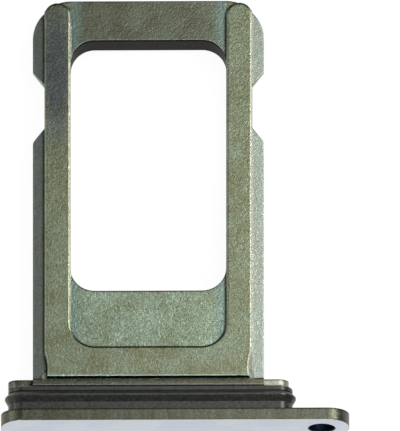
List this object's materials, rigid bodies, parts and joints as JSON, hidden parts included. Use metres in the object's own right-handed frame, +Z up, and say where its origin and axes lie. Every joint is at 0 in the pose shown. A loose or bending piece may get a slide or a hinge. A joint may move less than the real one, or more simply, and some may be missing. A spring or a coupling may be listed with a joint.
{
  "type": "sim card tray",
  "caption": "Flat metal card tray with a pill-shaped faceplate, an eject-pin hole, a lipped rubber seal and a windowed frame with guide flanges.",
  "frame": {"origin": "middle of the footprint, on the surface that the tray lies on with its card side down", "axes": "+Y is the way the tray goes into the phone, +X runs along the faceplate towards the release hole, +Z is up"},
  "size_m": [0.0162, 0.0208, 0.0023],
  "materials": {
    "tray": "bead-blasted metal with a thin olive green coating, satin",
    "seal_ring": "moulded silicone rubber, matt"
  },
  "bodies": {
    "root": {"tray": "tray", "seal_ring": "seal_ring"}
  },
  "joints": []
}
